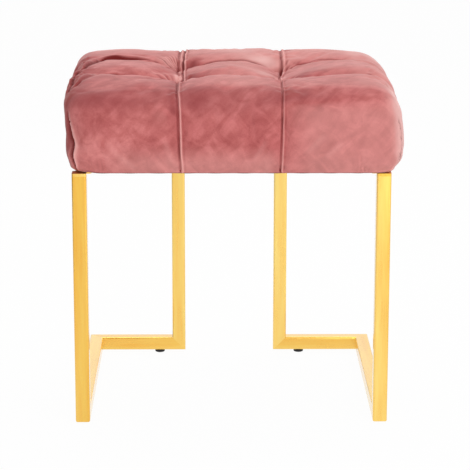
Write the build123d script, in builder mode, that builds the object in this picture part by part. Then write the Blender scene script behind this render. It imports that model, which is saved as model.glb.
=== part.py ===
from build123d import *
import os
from math import hypot

# Upholstered stool: a tufted velvet cushion carried by two zigzag frames of square tube.
# The origin is on the floor under the middle of the seat. Seen from the front, +X is to
# the right, +Y to the back and +Z up. All sizes are in millimetres.

# Square tube frames
tube = 20.0
tube_wall = 1.5
tube_corner = 2.5
frame_width = 435.0
frame_depth = 370.0
rear_leg_spacing = 157.0
leg_top = 355.0
bar_thickness = 4.0

# Levelling feet
pad_height = 5.0
pad_radius = 7.5
pad_edge = 1.5
pad_socket = 3.5
stud_radius = 3.0
thread_clearance = 0.05
stud_hole_clearance = 0.5
foot_nut_radius = 6.0
foot_nut_height = 6.0
foot_travel = 6.0
foot_offset = 30.0

# Seat fixings
bolt_radius = 3.0
bolt_length = 20.0
bolt_head_across_flats = 10.0
bolt_head_height = 4.0
bolt_hole_clearance = 0.3
bolts_per_bar = 4
bolt_end_gap = 60.0
washer_radius = 7.0
washer_thickness = 1.2
tee_nut_barrel_radius = 4.0
tee_nut_barrel_length = 9.0
tee_nut_flange_radius = 9.5
tee_nut_flange_thickness = 1.5

# Cushion
cushion_rise = 126.0
widest_rise = 38.0
base_overhang = 4.0
side_bulge = 12.0
side_lean = 6.0
pillow_line_x = 70.0
pillow_line_y = 60.0
channel_depth = 12.0
row_crest_rise = 2.0
outer_row_drop = 5.0
outer_column_drop = 2.0
shoulder_run = 44.0
shoulder_drop = 4.0
shoulder_fall = 40.0
corner_radius = 60.0
corner_ease = 2.0
pleat_width = 3.0
pleat_depth = 4.0
pleat_foot = 4.0
tuft_depth = 38.0
tuft_mouth_radius = 28.0
tuft_root_radius = 5.0

# Layers of the seat
cover_thickness = 1.5
wadding_thickness = 6.0
layer_gap = 0.3
board_thickness = 15.0
board_corner = 50.0
flange_width = 25.0
dust_cover_thickness = 1.0
dust_cover_inset = 6.0
dust_cover_corner = 45.0

# Tufting twine and staples
twine_radius = 1.0
twine_clearance = 0.25
anchor_radius = 10.0
staple_crown = 10.0
staple_wire = 0.6
staple_leg = 6.0
cover_staple_pitch = 40.0
cover_staple_setback = 18.0
dust_staple_pitch = 52.0
dust_staple_setback = 5.0

# Heights and positions that follow from those sizes
tube_bottom = pad_height
bar_top = leg_top + bar_thickness
dust_cover_top = bar_top + dust_cover_thickness
seat_base = dust_cover_top
board_bottom = seat_base + cover_thickness
board_top = board_bottom + board_thickness

leg_x = (frame_width - tube) / 2
rear_leg_x = rear_leg_spacing / 2
front_y = -(frame_depth - tube) / 2
rear_y = (frame_depth - tube) / 2

base_half_width = frame_width / 2 + base_overhang
base_half_depth = frame_depth / 2 + base_overhang
cushion_width = 2 * (base_half_width + side_bulge)
cushion_depth = 2 * (base_half_depth + side_bulge)
cushion_crest = seat_base + cushion_rise
cushion_widest_height = seat_base + widest_rise
board_width = 2 * (base_half_width - cover_thickness - layer_gap)
board_depth = 2 * (base_half_depth - cover_thickness - layer_gap)
tufts = [(x, y) for y in (-pillow_line_y, pillow_line_y) for x in (-pillow_line_x, pillow_line_x)]
tuft_root = cushion_crest - tuft_depth

sides = {"left": -1, "right": 1}
foot_places = {}
for side_name, side in sides.items():
    foot_places[f"front_{side_name}"] = (side * leg_x, front_y + foot_offset)
    foot_places[f"rear_{side_name}"] = (side * (rear_leg_x + foot_offset), rear_y)


def bolt_places(side):
    """Bolt centres along one top bar, evenly spaced between its two end gaps."""
    run_x = side * (rear_leg_x - leg_x)
    run_y = rear_y - front_y
    length = hypot(run_x, run_y)
    step = (length - 2 * bolt_end_gap) / (bolts_per_bar - 1)
    shares = [(bolt_end_gap + step * i) / length for i in range(bolts_per_bar)]
    return [(side * leg_x + run_x * share, front_y + run_y * share) for share in shares]


all_bolts = bolt_places(-1) + bolt_places(1)
feet = list(foot_places.values())
made = []


def keep(builder, name):
    """Labels a finished piece and puts it on the list of pieces to write."""
    builder.part.label = name
    made.append(builder.part)


def tube_section():
    """Hollow square section of the frame tube, drawn in the open sketch."""
    RectangleRounded(tube, tube, tube_corner)
    bore = tube - 2 * tube_wall
    RectangleRounded(bore, bore, max(tube_corner - tube_wall, 0.3), mode=Mode.SUBTRACT)


def foot_hole(place):
    """Clearance hole for a foot's stud through the underside wall of a floor tube."""
    underside = Plane(origin=(*place, tube_bottom), z_dir=(0, 0, -1))
    with Locations(underside):
        Hole(stud_radius + stud_hole_clearance, depth=tube_wall)


# Each frame runs down the front leg, back along the floor, across the back and up the rear leg
for side_name, side in sides.items():
    front_corner = Plane((side * leg_x, -frame_depth / 2, tube_bottom), (1, 0, 0), (0, -1, 1))
    floor_corner = Plane((side * frame_width / 2, frame_depth / 2, tube_bottom), (0, 0, 1), (side, -1, 0))
    rear_corner = Plane((side * (rear_leg_x - tube / 2), rear_y, tube_bottom), (0, 1, 0), (-side, 0, 1))
    tube_axis_height = tube_bottom + tube / 2

    with BuildPart() as front_leg:
        with BuildSketch(Plane.XY.offset(tube_bottom)):
            with Locations((side * leg_x, front_y)):
                tube_section()
        extrude(amount=leg_top - tube_bottom)
        split(bisect_by=front_corner, keep=Keep.TOP)
    keep(front_leg, f"front_leg_{side_name}")

    with BuildPart() as side_runner:
        with BuildSketch(Plane((side * leg_x, -frame_depth / 2, tube_axis_height), (1, 0, 0), (0, 1, 0))):
            tube_section()
        extrude(amount=frame_depth)
        split(bisect_by=front_corner, keep=Keep.BOTTOM)
        split(bisect_by=floor_corner, keep=Keep.TOP)
        foot_hole(foot_places[f"front_{side_name}"])
    keep(side_runner, f"side_runner_{side_name}")

    with BuildPart() as rear_rail:
        rail_start = (side * (rear_leg_x - tube / 2), rear_y, tube_axis_height)
        with BuildSketch(Plane(rail_start, (0, 1, 0), (side, 0, 0))):
            tube_section()
        extrude(amount=frame_width / 2 - rear_leg_x + tube / 2)
        split(bisect_by=floor_corner, keep=Keep.BOTTOM)
        split(bisect_by=rear_corner, keep=Keep.BOTTOM)
        foot_hole(foot_places[f"rear_{side_name}"])
    keep(rear_rail, f"rear_rail_{side_name}")

    with BuildPart() as rear_leg:
        with BuildSketch(Plane.XY.offset(tube_bottom)):
            with Locations((side * rear_leg_x, rear_y)):
                tube_section()
        extrude(amount=leg_top - tube_bottom)
        split(bisect_by=rear_corner, keep=Keep.TOP)
    keep(rear_leg, f"rear_leg_{side_name}")

    # Flat bar from one leg top to the other, as wide as the tubes, with a square end that closes each
    with BuildPart() as top_bar:
        with BuildSketch(Plane.XY.offset(leg_top)):
            with BuildLine() as bar_line:
                Line((side * leg_x, front_y), (side * rear_leg_x, rear_y))
            trace(bar_line.edges(), line_width=tube)
            Rectangle(frame_width + 2 * tube, frame_depth - 2 * tube, mode=Mode.INTERSECT)
            with Locations((side * leg_x, front_y), (side * rear_leg_x, rear_y)):
                RectangleRounded(tube, tube, tube_corner)
            with Locations(*bolt_places(side)):
                Circle(bolt_radius + bolt_hole_clearance, mode=Mode.SUBTRACT)
        extrude(amount=bar_thickness)
    keep(top_bar, f"top_bar_{side_name}")

# Round nuts welded inside the floor tubes, which the levelling feet screw into
with BuildPart() as foot_nuts:
    with BuildSketch(Plane.XY.offset(tube_bottom + tube_wall)):
        with Locations(*feet):
            Circle(foot_nut_radius)
            Circle(stud_radius + thread_clearance, mode=Mode.SUBTRACT)
    extrude(amount=foot_nut_height)
keep(foot_nuts, "foot_nuts")

# Levelling feet: a threaded stud in a moulded pad with a rounded lower edge
stud_length = pad_socket + tube_wall + foot_nut_height + foot_travel
for place_name, place in foot_places.items():
    with BuildPart() as foot_stud:
        with BuildSketch(Plane.XY.offset(pad_height - pad_socket)):
            with Locations(place):
                Circle(stud_radius)
        extrude(amount=stud_length)
    keep(foot_stud, f"foot_stud_{place_name}")

    with BuildPart() as foot_pad:
        with BuildSketch():
            with Locations(place):
                Circle(pad_radius)
        extrude(amount=pad_height)
        fillet(foot_pad.edges().group_by(Axis.Z)[0], radius=pad_edge)
        with Locations((*place, pad_height)):
            Hole(stud_radius + thread_clearance, depth=pad_socket)
    keep(foot_pad, f"foot_pad_{place_name}")


def quilt_outline(half_width, half_base, pillow_line, crest, outer_drop):
    """Closed outline of the cushion in an upright plane: three crowned pillows, full and drawn-in sides."""
    outer_crest = crest - outer_drop
    channel = (pillow_line, crest - channel_depth)
    shoulder = (half_width - shoulder_run, outer_crest - shoulder_drop)
    pillow_crest = ((pillow_line + half_width - shoulder_run) / 2, outer_crest)
    side_top = (half_width - side_lean, outer_crest - shoulder_fall)
    widest = (half_width, cushion_widest_height)
    with BuildLine() as outline:
        ThreePointArc(channel, pillow_crest, shoulder)
        flank = TangentArc(widest, side_top, tangent=(0, 1))
        TangentArc(side_top, shoulder, tangent=flank % 1)
        TangentArc(widest, (half_base, seat_base), tangent=(0, -1))
        mirror(about=Plane.YZ)
        ThreePointArc((-channel[0], channel[1]), (0, crest), channel)
        Line((-half_base, seat_base), (half_base, seat_base))
    make_face(outline.edges())


def column_outline(inset):
    """Outline seen from the front, drawn in by a layer's depth below the velvet surface."""
    quilt_outline(cushion_width / 2, base_half_width, pillow_line_x, cushion_crest, outer_column_drop)
    if inset:
        offset(amount=-inset, mode=Mode.REPLACE)


def row_outline(inset):
    """Outline seen from the side, drawn in by a layer's depth below the velvet surface."""
    row_crest = cushion_crest + row_crest_rise
    quilt_outline(cushion_depth / 2, base_half_depth, pillow_line_y, row_crest, outer_row_drop)
    if inset:
        offset(amount=-inset, mode=Mode.REPLACE)


def pleat_band(inset):
    """Leaves of the drawn outline only the strip that a pleat sinks into, above the board."""
    offset(amount=-pleat_depth, mode=Mode.SUBTRACT)
    with Locations((0, board_top + pleat_foot - inset)):
        Rectangle(2 * cushion_width, cushion_crest, align=(Align.CENTER, Align.MAX), mode=Mode.SUBTRACT)


def cushion_block(inset):
    """Solid cushion form whose surface lies a given depth below the velvet surface."""
    pleat_half_width = pleat_width / 2 + inset
    mouth_slope = (tuft_mouth_radius - tuft_root_radius) / tuft_depth
    cone_height = tuft_depth + row_crest_rise + inset
    cone_root = tuft_root_radius + inset
    with BuildPart() as block:
        with BuildSketch(Plane.XZ):
            column_outline(inset)
        extrude(amount=cushion_depth, both=True)
        with BuildSketch(Plane.YZ):
            row_outline(inset)
        extrude(amount=cushion_width, both=True, mode=Mode.INTERSECT)
        with BuildSketch():
            plan_width = cushion_width + 2 * (corner_ease - inset)
            plan_depth = cushion_depth + 2 * (corner_ease - inset)
            RectangleRounded(plan_width, plan_depth, corner_radius - inset)
        extrude(amount=cushion_crest, mode=Mode.INTERSECT)
        # Pleats down the front and back, and down both ends, in line with the tufts
        with BuildSketch(Plane.YZ.offset(-pillow_line_x), Plane.YZ.offset(pillow_line_x)):
            row_outline(inset)
            pleat_band(inset)
        extrude(amount=pleat_half_width, both=True, mode=Mode.SUBTRACT)
        with BuildSketch(Plane.XZ.offset(-pillow_line_y), Plane.XZ.offset(pillow_line_y)):
            column_outline(inset)
            pleat_band(inset)
        extrude(amount=pleat_half_width, both=True, mode=Mode.SUBTRACT)
        # Tufts, drawn down to a narrow root
        with Locations(*[(*tuft, tuft_root - inset) for tuft in tufts]):
            Cone(
                cone_root,
                cone_root + mouth_slope * cone_height,
                cone_height,
                align=(Align.CENTER, Align.CENTER, Align.MIN),
                mode=Mode.SUBTRACT,
            )
    return block.part


def upright_hole(places, radius, bottom, top):
    """Straight holes between two heights in the open part."""
    with BuildSketch(Plane.XY.offset(bottom)) as holes:
        with Locations(*places):
            Circle(radius)
    extrude(holes.sketch, amount=top - bottom, mode=Mode.SUBTRACT)


# Depth of each layer below the velvet surface
wadding_outside = cover_thickness + layer_gap
wadding_inside = wadding_outside + wadding_thickness
foam_outside = wadding_inside + layer_gap
cover_form = cushion_block(0)
cover_hollow = cushion_block(cover_thickness)
wadding_form = cushion_block(wadding_outside)
wadding_hollow = cushion_block(wadding_inside)
foam_form = cushion_block(foam_outside)
bolt_hole_radius = bolt_radius + bolt_hole_clearance
twine_hole_radius = twine_radius + twine_clearance

# Velvet cover, turned in under the board as a flange all round
with BuildPart() as velvet_cover:
    add(cover_form)
    add(cover_hollow, mode=Mode.SUBTRACT)
    with BuildSketch(Plane.XY.offset(seat_base)):
        Rectangle(2 * (base_half_width - flange_width), 2 * (base_half_depth - flange_width))
    extrude(amount=cover_thickness, mode=Mode.SUBTRACT)
    upright_hole(all_bolts, bolt_hole_radius, seat_base, board_bottom)
keep(velvet_cover, "velvet_cover")

# Soft wadding between the velvet and the foam
with BuildPart() as wadding:
    add(wadding_form)
    add(wadding_hollow, mode=Mode.SUBTRACT)
    split(bisect_by=Plane.XY.offset(board_top), keep=Keep.TOP)
    upright_hole(tufts, twine_hole_radius, board_top, cushion_crest)
keep(wadding, "wadding")

with BuildPart() as seat_foam:
    add(foam_form)
    split(bisect_by=Plane.XY.offset(board_top), keep=Keep.TOP)
    upright_hole(tufts, twine_hole_radius, board_top, cushion_crest)
keep(seat_foam, "seat_foam")

# Plywood seat board with seats for the tee nuts and holes for the twine
with BuildPart() as seat_board:
    with BuildSketch(Plane.XY.offset(board_bottom)):
        RectangleRounded(board_width, board_depth, board_corner)
    extrude(amount=board_thickness)
    with Locations(*[(*place, board_top) for place in all_bolts]):
        CounterBoreHole(tee_nut_barrel_radius, tee_nut_flange_radius, tee_nut_flange_thickness)
    upright_hole(tufts, twine_hole_radius, board_bottom, board_top)
keep(seat_board, "seat_board")

with BuildPart() as dust_cover:
    with BuildSketch(Plane.XY.offset(bar_top)):
        RectangleRounded(
            2 * (base_half_width - dust_cover_inset),
            2 * (base_half_depth - dust_cover_inset),
            dust_cover_corner,
        )
    extrude(amount=dust_cover_thickness)
    upright_hole(all_bolts, bolt_hole_radius, bar_top, dust_cover_top)
keep(dust_cover, "dust_cover")

# Tee nuts let into the board from above, and the bolts that hold the bars up to them
with BuildPart() as tee_nuts:
    with BuildSketch(Plane.XY.offset(board_top)):
        with Locations(*all_bolts):
            Circle(tee_nut_flange_radius)
    extrude(amount=-tee_nut_flange_thickness)
    with BuildSketch(Plane.XY.offset(board_top - tee_nut_flange_thickness)):
        with Locations(*all_bolts):
            Circle(tee_nut_barrel_radius)
    extrude(amount=-tee_nut_barrel_length)
    upright_hole(all_bolts, bolt_radius + thread_clearance, board_bottom, board_top)
keep(tee_nuts, "tee_nuts")

washer_bottom = leg_top - washer_thickness
with BuildPart() as bolt_washers:
    with BuildSketch(Plane.XY.offset(washer_bottom)):
        with Locations(*all_bolts):
            Circle(washer_radius)
            Circle(bolt_hole_radius, mode=Mode.SUBTRACT)
    extrude(amount=washer_thickness)
keep(bolt_washers, "bolt_washers")

with BuildPart() as seat_bolts:
    with BuildSketch(Plane.XY.offset(washer_bottom)):
        with Locations(*all_bolts):
            RegularPolygon(bolt_head_across_flats / 2, 6, major_radius=False)
    extrude(amount=-bolt_head_height)
    with BuildSketch(Plane.XY.offset(washer_bottom)):
        with Locations(*all_bolts):
            Circle(bolt_radius)
    extrude(amount=bolt_length)
keep(seat_bolts, "seat_bolts")

# Twine that draws each tuft down, tied off under the board on a flat disc
tuft_places = {}
for row_name, row_y in (("front", -pillow_line_y), ("rear", pillow_line_y)):
    for side_name, side in sides.items():
        tuft_places[f"{row_name}_{side_name}"] = (side * pillow_line_x, row_y)
for place_name, place in tuft_places.items():
    with BuildPart() as tuft_twine:
        with BuildSketch(Plane.XY.offset(seat_base)):
            with Locations(place):
                Circle(twine_radius)
        extrude(amount=tuft_root - cover_thickness - seat_base)
    keep(tuft_twine, f"tuft_twine_{place_name}")

    with BuildPart() as twine_anchor:
        with BuildSketch(Plane.XY.offset(seat_base)):
            with Locations(place):
                Circle(anchor_radius)
                Circle(twine_hole_radius, mode=Mode.SUBTRACT)
        extrude(amount=cover_thickness)
    keep(twine_anchor, f"twine_anchor_{place_name}")


def staple_rows(base, setback, pitch):
    """Staples round the seat's underside, crown flush with a face and legs driven up."""
    half_x = base_half_width - setback
    half_y = base_half_depth - setback
    count_x = int((2 * half_x - 2 * board_corner) / pitch) + 1
    count_y = int((2 * half_y - 2 * board_corner) / pitch) + 1
    leg_gap = staple_crown - staple_wire
    with BuildSketch(Plane.XY.offset(base)) as crowns:
        with GridLocations(pitch, 2 * half_y, count_x, 2):
            Rectangle(staple_crown, staple_wire)
        with GridLocations(2 * half_x, pitch, 2, count_y):
            Rectangle(staple_wire, staple_crown)
    extrude(crowns.sketch, amount=staple_wire)
    with BuildSketch(Plane.XY.offset(base + staple_wire)) as legs:
        with GridLocations(pitch, 2 * half_y, count_x, 2):
            with Locations((-leg_gap / 2, 0), (leg_gap / 2, 0)):
                Rectangle(staple_wire, staple_wire)
        with GridLocations(2 * half_x, pitch, 2, count_y):
            with Locations((0, -leg_gap / 2), (0, leg_gap / 2)):
                Rectangle(staple_wire, staple_wire)
    extrude(legs.sketch, amount=staple_leg)


with BuildPart() as cover_staples:
    staple_rows(seat_base, cover_staple_setback, cover_staple_pitch)
keep(cover_staples, "cover_staples")

with BuildPart() as dust_cover_staples:
    staple_rows(bar_top, dust_cover_inset + dust_staple_setback, dust_staple_pitch)
keep(dust_cover_staples, "dust_cover_staples")

os.makedirs("parts", exist_ok=True)
for piece in made:
    export_step(piece, f"parts/{piece.label}.step")
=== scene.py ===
"""Looks of a tufted velvet stool on a gold square-tube frame, in metres in the frame of its CAD model."""
import math

import bpy
import numpy as np
from mathutils import Matrix, Vector


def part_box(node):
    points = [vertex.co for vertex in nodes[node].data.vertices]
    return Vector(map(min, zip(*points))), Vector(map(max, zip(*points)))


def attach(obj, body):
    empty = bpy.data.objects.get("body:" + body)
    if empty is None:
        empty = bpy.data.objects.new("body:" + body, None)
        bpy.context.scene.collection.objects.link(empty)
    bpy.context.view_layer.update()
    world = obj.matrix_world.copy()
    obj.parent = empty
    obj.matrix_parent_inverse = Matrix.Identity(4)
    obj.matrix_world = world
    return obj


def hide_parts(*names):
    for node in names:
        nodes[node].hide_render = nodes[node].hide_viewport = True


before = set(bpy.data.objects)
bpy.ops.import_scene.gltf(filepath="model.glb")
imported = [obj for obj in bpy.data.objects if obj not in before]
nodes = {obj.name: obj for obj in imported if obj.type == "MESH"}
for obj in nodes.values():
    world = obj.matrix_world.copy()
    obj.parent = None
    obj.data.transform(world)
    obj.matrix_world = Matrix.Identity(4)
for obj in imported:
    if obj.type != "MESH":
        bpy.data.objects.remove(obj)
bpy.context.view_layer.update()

scene = bpy.context.scene
MM = 0.001


def placed(name, data):
    """New object in the scene, with a mesh, a camera or a lamp in it."""
    made = bpy.data.objects.new(name, data)
    scene.collection.objects.link(made)
    return made


# Camera

def photograph_camera():
    """Camera fitted to the photograph: place, pitch, yaw, roll and focal length for a 470 pixel square."""
    pitch, yaw, roll = (math.radians(a) for a in (13.482, 0.687, 0.0876))
    place = (-0.02787, -2.88799, 0.92155)
    focal_px, image_px = 2033.08, 470
    ahead = Vector((math.sin(yaw) * math.cos(pitch), math.cos(yaw) * math.cos(pitch), -math.sin(pitch)))
    level = Vector((math.cos(yaw), -math.sin(yaw), 0.0))
    above = level.cross(ahead)
    right = math.cos(roll) * level + math.sin(roll) * above
    up = math.cos(roll) * above - math.sin(roll) * level
    lens = bpy.data.cameras.new("camera")
    lens.sensor_fit = "HORIZONTAL"
    lens.sensor_width = 36.0
    lens.lens = focal_px * lens.sensor_width / image_px
    camera = placed("camera", lens)
    turn = Matrix((right, up, -ahead)).transposed().to_4x4()
    camera.matrix_world = Matrix.Translation(place) @ turn
    scene.camera = camera


photograph_camera()


# Node helpers

def fill(tree, node, inputs):
    """Sets or links inputs of a node, by name or number."""
    for key, value in inputs.items():
        if isinstance(value, bpy.types.NodeSocket):
            tree.links.new(value, node.inputs[key])
        else:
            node.inputs[key].default_value = value


def put(tree, kind, inputs=None, **settings):
    """Adds a node, sets its properties, and sets or links its inputs."""
    made = tree.nodes.new(kind)
    for name, value in settings.items():
        setattr(made, name, value)
    fill(tree, made, inputs or {})
    return made


def reckon(tree, operation, *parts, **settings):
    """Result of a sum on values or sockets."""
    return put(tree, "ShaderNodeMath", dict(enumerate(parts)), operation=operation, **settings).outputs[0]


def new_group(name, kind, takes, gives):
    """Node group with named sockets; returns the tree, the values it is given and what it gives.

    A socket that it takes is given by its default number, or by a word for its kind.
    """
    tree = bpy.data.node_groups.new(name, kind)
    for socket, given in takes.items():
        sort = {float: "Float", int: "Int"}.get(type(given), given)
        made = tree.interface.new_socket(socket, in_out="INPUT", socket_type="NodeSocket" + sort)
        if sort != given:
            made.default_value = given
    for socket, sort in gives.items():
        tree.interface.new_socket(socket, in_out="OUTPUT", socket_type="NodeSocket" + sort)
    return tree, tree.nodes.new("NodeGroupInput").outputs, tree.nodes.new("NodeGroupOutput").inputs


def shade(tree, group, inputs):
    """Places a shader node group in a material with its own values, and gives its outputs."""
    return put(tree, "ShaderNodeGroup", inputs, node_tree=group).outputs


def mixed(tree, factor, first, second, blend="MIX"):
    """Colour between two others, by a factor."""
    inputs = {"Factor": factor, "A": first, "B": second}
    return put(tree, "ShaderNodeMix", inputs, data_type="RGBA", blend_type=blend).outputs["Result"]


def between(tree, mask, low, high):
    """Value that goes from low to high as a mask goes from 0 to 1."""
    return put(tree, "ShaderNodeMapRange", {"Value": mask, "To Min": low, "To Max": high}).outputs["Result"]


def relief(tree, height, strength, distance):
    """Normal of a surface with a fine relief."""
    bump = put(tree, "ShaderNodeBump", {"Height": height, "Strength": strength, "Distance": distance})
    return bump.outputs["Normal"]


def object_place(tree):
    """Object coordinates of a piece."""
    return put(tree, "ShaderNodeTexCoord").outputs["Object"]


def stretched_place(tree, stretch):
    """Object coordinates, scaled for each axis so that a pattern runs along a piece."""
    return put(tree, "ShaderNodeMapping", {"Vector": object_place(tree), "Scale": stretch}).outputs[0]


def new_material(name):
    """Empty material with a Principled shader; returns the material and its tree."""
    material = bpy.data.materials.new(name)
    material.use_nodes = True
    return material, material.node_tree


def dress(tree, inputs):
    """Sets or links inputs of a material's Principled shader, and gives what it puts out."""
    shader = tree.nodes["Principled BSDF"]
    fill(tree, shader, inputs)
    return shader.outputs[0]


# Effects that several finishes share

def uneven_tone_group():
    """Soft cloudy mask from a swirled noise, for worn, mottled or crushed surfaces."""
    tree, value, gives = new_group(
        "uneven_tone", "ShaderNodeTree",
        {"Vector": "Vector", "Scale": 10.0, "Swirl": 0.5, "Spread": 0.25}, {"Mask": "Float"})
    broad = put(tree, "ShaderNodeTexNoise", {
        "Vector": value["Vector"], "Scale": value["Scale"], "Detail": 3.0, "Roughness": 0.55,
        "Distortion": value["Swirl"]})
    low = reckon(tree, "SUBTRACT", 0.5, value["Spread"])
    high = reckon(tree, "ADD", 0.5, value["Spread"])
    mask = put(tree, "ShaderNodeMapRange", {
        "Value": broad.outputs["Fac"], "From Min": low, "From Max": high}, interpolation_type="SMOOTHSTEP")
    tree.links.new(mask.outputs["Result"], gives["Mask"])
    return tree


def fine_grain_group():
    """Fine speckle or streaks: a mask and a height, stretched by the vector that feeds it."""
    tree, value, gives = new_group(
        "fine_grain", "ShaderNodeTree",
        {"Vector": "Vector", "Scale": 400.0, "Contrast": 1.0}, {"Mask": "Float", "Height": "Float"})
    grain = put(tree, "ShaderNodeTexNoise", {
        "Vector": value["Vector"], "Scale": value["Scale"], "Detail": 5.0, "Roughness": 0.6})
    centred = reckon(tree, "SUBTRACT", grain.outputs["Fac"], 0.5)
    pushed = reckon(tree, "MULTIPLY_ADD", centred, value["Contrast"], 0.5, use_clamp=True)
    tree.links.new(pushed, gives["Mask"])
    tree.links.new(grain.outputs["Fac"], gives["Height"])
    return tree


UNEVEN_TONE = uneven_tone_group()
FINE_GRAIN = fine_grain_group()


# Finishes

def gold_finish(name, stretch):
    """Satin gold plating with fine brushed streaks along the tube; stretch squeezes the noise across them."""
    material, tree = new_material(name)
    along = stretched_place(tree, stretch)
    streaks = shade(tree, FINE_GRAIN, {"Vector": along, "Scale": 9.0, "Contrast": 2.2})
    cloud = shade(tree, UNEVEN_TONE, {"Vector": along, "Scale": 1.1, "Swirl": 0.4, "Spread": 0.22})
    tone = mixed(tree, cloud["Mask"], (0.91, 0.51, 0.06, 1), (1.0, 0.70, 0.185, 1))
    dress(tree, {
        "Base Color": mixed(tree, 0.3, tone, streaks["Mask"], "SOFT_LIGHT"),
        "Roughness": between(tree, streaks["Mask"], 0.24, 0.38),
        "Normal": relief(tree, streaks["Height"], 0.05, 0.0004),
        "Metallic": 1.0, "Coat Weight": 0.8, "Coat Roughness": 0.12})
    return material


def zinc_finish():
    """Dull zinc plating with a faint cloud and grain."""
    material, tree = new_material("zinc_plating")
    place = object_place(tree)
    cloud = shade(tree, UNEVEN_TONE, {"Vector": place, "Scale": 160.0, "Swirl": 0.8})
    grain = shade(tree, FINE_GRAIN, {"Vector": place, "Scale": 1500.0, "Contrast": 1.5})
    dress(tree, {
        "Base Color": mixed(tree, cloud["Mask"], (0.46, 0.46, 0.45, 1), (0.63, 0.63, 0.60, 1)),
        "Roughness": between(tree, grain["Mask"], 0.28, 0.5), "Metallic": 1.0})
    return material


def pad_finish():
    """Black moulded plastic with a fine spark-eroded texture and scuffed tone."""
    material, tree = new_material("black_moulding")
    place = object_place(tree)
    scuff = shade(tree, UNEVEN_TONE, {"Vector": place, "Scale": 220.0, "Swirl": 0.6})
    grain = shade(tree, FINE_GRAIN, {"Vector": place, "Scale": 2600.0, "Contrast": 1.6})
    dress(tree, {
        "Base Color": mixed(tree, scuff["Mask"], (0.008, 0.008, 0.009, 1), (0.022, 0.021, 0.022, 1)),
        "Roughness": between(tree, grain["Mask"], 0.42, 0.62),
        "Normal": relief(tree, grain["Height"], 0.25, 0.0002), "Specular IOR Level": 0.25})
    return material


def velvet_finish():
    """Rose velvet: a nap brushed two ways, painted light and shade from two layers of the cushion, painted
    highlights on fold edges and a soft sheen.
    """
    material, tree = new_material("rose_velvet")
    place = object_place(tree)

    def strokes(turned, scale, longer):
        brushed = put(tree, "ShaderNodeMapping", {
            "Vector": place, "Rotation": turned, "Scale": (1.0, 1.0, longer)}, vector_type="TEXTURE")
        return shade(tree, UNEVEN_TONE, {
            "Vector": brushed.outputs[0], "Scale": scale, "Swirl": 0.7, "Spread": 0.24})["Mask"]

    crush = shade(tree, UNEVEN_TONE, {"Vector": place, "Scale": 9.0, "Swirl": 0.9, "Spread": 0.28})
    pile = shade(tree, FINE_GRAIN, {"Vector": place, "Scale": 900.0, "Contrast": 1.8})
    tone = mixed(tree, crush["Mask"], (0.42, 0.102, 0.10, 1), (0.54, 0.165, 0.157, 1))
    tone = mixed(tree, 0.26, tone, strokes((0.5, -0.7, 0.0), 52.0, 4.5), "SOFT_LIGHT")
    tone = mixed(tree, 0.26, tone, strokes((-0.5, 0.8, 0.0), 60.0, 5.0), "SOFT_LIGHT")
    tone = mixed(tree, 0.22, tone, pile["Mask"], "SOFT_LIGHT")
    # Two layers of the cushion that hold painted light and painted shade
    nap = put(tree, "ShaderNodeAttribute", attribute_name="nap").outputs["Fac"]
    fold = put(tree, "ShaderNodeAttribute", attribute_name="fold").outputs["Fac"]
    # The deep reds and the dark fold colour are painted shade; the pale pinks are painted light, and the pale
    # fold colour is a painted highlight
    for layer, start, limit, most, colour in (
        (nap, 0.0, -1.0, 0.58, (0.26, 0.048, 0.052, 1)), (nap, -1.0, -2.0, 0.8, (0.28, 0.034, 0.030, 1)),
        (nap, 0.0, 1.0, 0.45, (0.78, 0.38, 0.35, 1)), (nap, 1.0, 2.0, 0.8, (0.85, 0.55, 0.52, 1)),
        (fold, 0.0, 1.1, 0.9, (0.86, 0.44, 0.41, 1)), (fold, 0.0, -1.0, 0.95, (0.15, 0.007, 0.007, 1)),
    ):
        share = put(tree, "ShaderNodeMapRange", {
            "Value": layer, "From Min": start, "From Max": limit, "To Max": most})
        tone = mixed(tree, share.outputs["Result"], tone, colour)
    dress(tree, {
        "Base Color": tone, "Normal": relief(tree, pile["Height"], 0.18, 0.0006), "Roughness": 0.85,
        "Specular IOR Level": 0.15, "Sheen Weight": 0.45, "Sheen Roughness": 0.38,
        "Sheen Tint": (1.0, 0.72, 0.70, 1)})
    return material


def dust_cloth_finish():
    """Black bonded cloth with a fibrous speckle."""
    material, tree = new_material("black_dust_cloth")
    place = object_place(tree)
    fibres = shade(tree, FINE_GRAIN, {"Vector": place, "Scale": 700.0, "Contrast": 2.4})
    cloud = shade(tree, UNEVEN_TONE, {"Vector": place, "Scale": 30.0, "Swirl": 0.5})
    dress(tree, {
        "Base Color": mixed(tree, fibres["Mask"], (0.008, 0.008, 0.009, 1), (0.035, 0.034, 0.035, 1)),
        "Roughness": between(tree, cloud["Mask"], 0.78, 0.95),
        "Normal": relief(tree, fibres["Height"], 0.4, 0.0003)})
    return material


def grained_finish(name, stretch, scale, dark, pale, roughness):
    """Plain dull finish with a stretched grain: the plies of bare plywood, or the lay of waxed twine."""
    material, tree = new_material(name)
    along = stretched_place(tree, stretch)
    grain = shade(tree, FINE_GRAIN, {"Vector": along, "Scale": scale, "Contrast": 2.0})
    dress(tree, {"Base Color": mixed(tree, grain["Mask"], dark, pale), "Roughness": roughness})
    return material


GOLD_UPRIGHT = gold_finish("brushed_gold_upright", (16.0, 16.0, 1.0))
GOLD_RUNNER = gold_finish("brushed_gold_runner", (16.0, 1.0, 16.0))
GOLD_RAIL = gold_finish("brushed_gold_rail", (1.0, 16.0, 16.0))
ZINC = zinc_finish()
BLACK_PAD = pad_finish()
VELVET = velvet_finish()
DUST_CLOTH = dust_cloth_finish()
PLYWOOD = grained_finish(
    "bare_plywood", (1.0, 14.0, 60.0), 9.0, (0.36, 0.21, 0.10, 1), (0.62, 0.44, 0.25, 1), 0.7)
TWINE = grained_finish(
    "waxed_twine", (1.0, 1.0, 0.3), 1400.0, (0.42, 0.35, 0.22, 1), (0.66, 0.58, 0.42, 1), 0.6)


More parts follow.
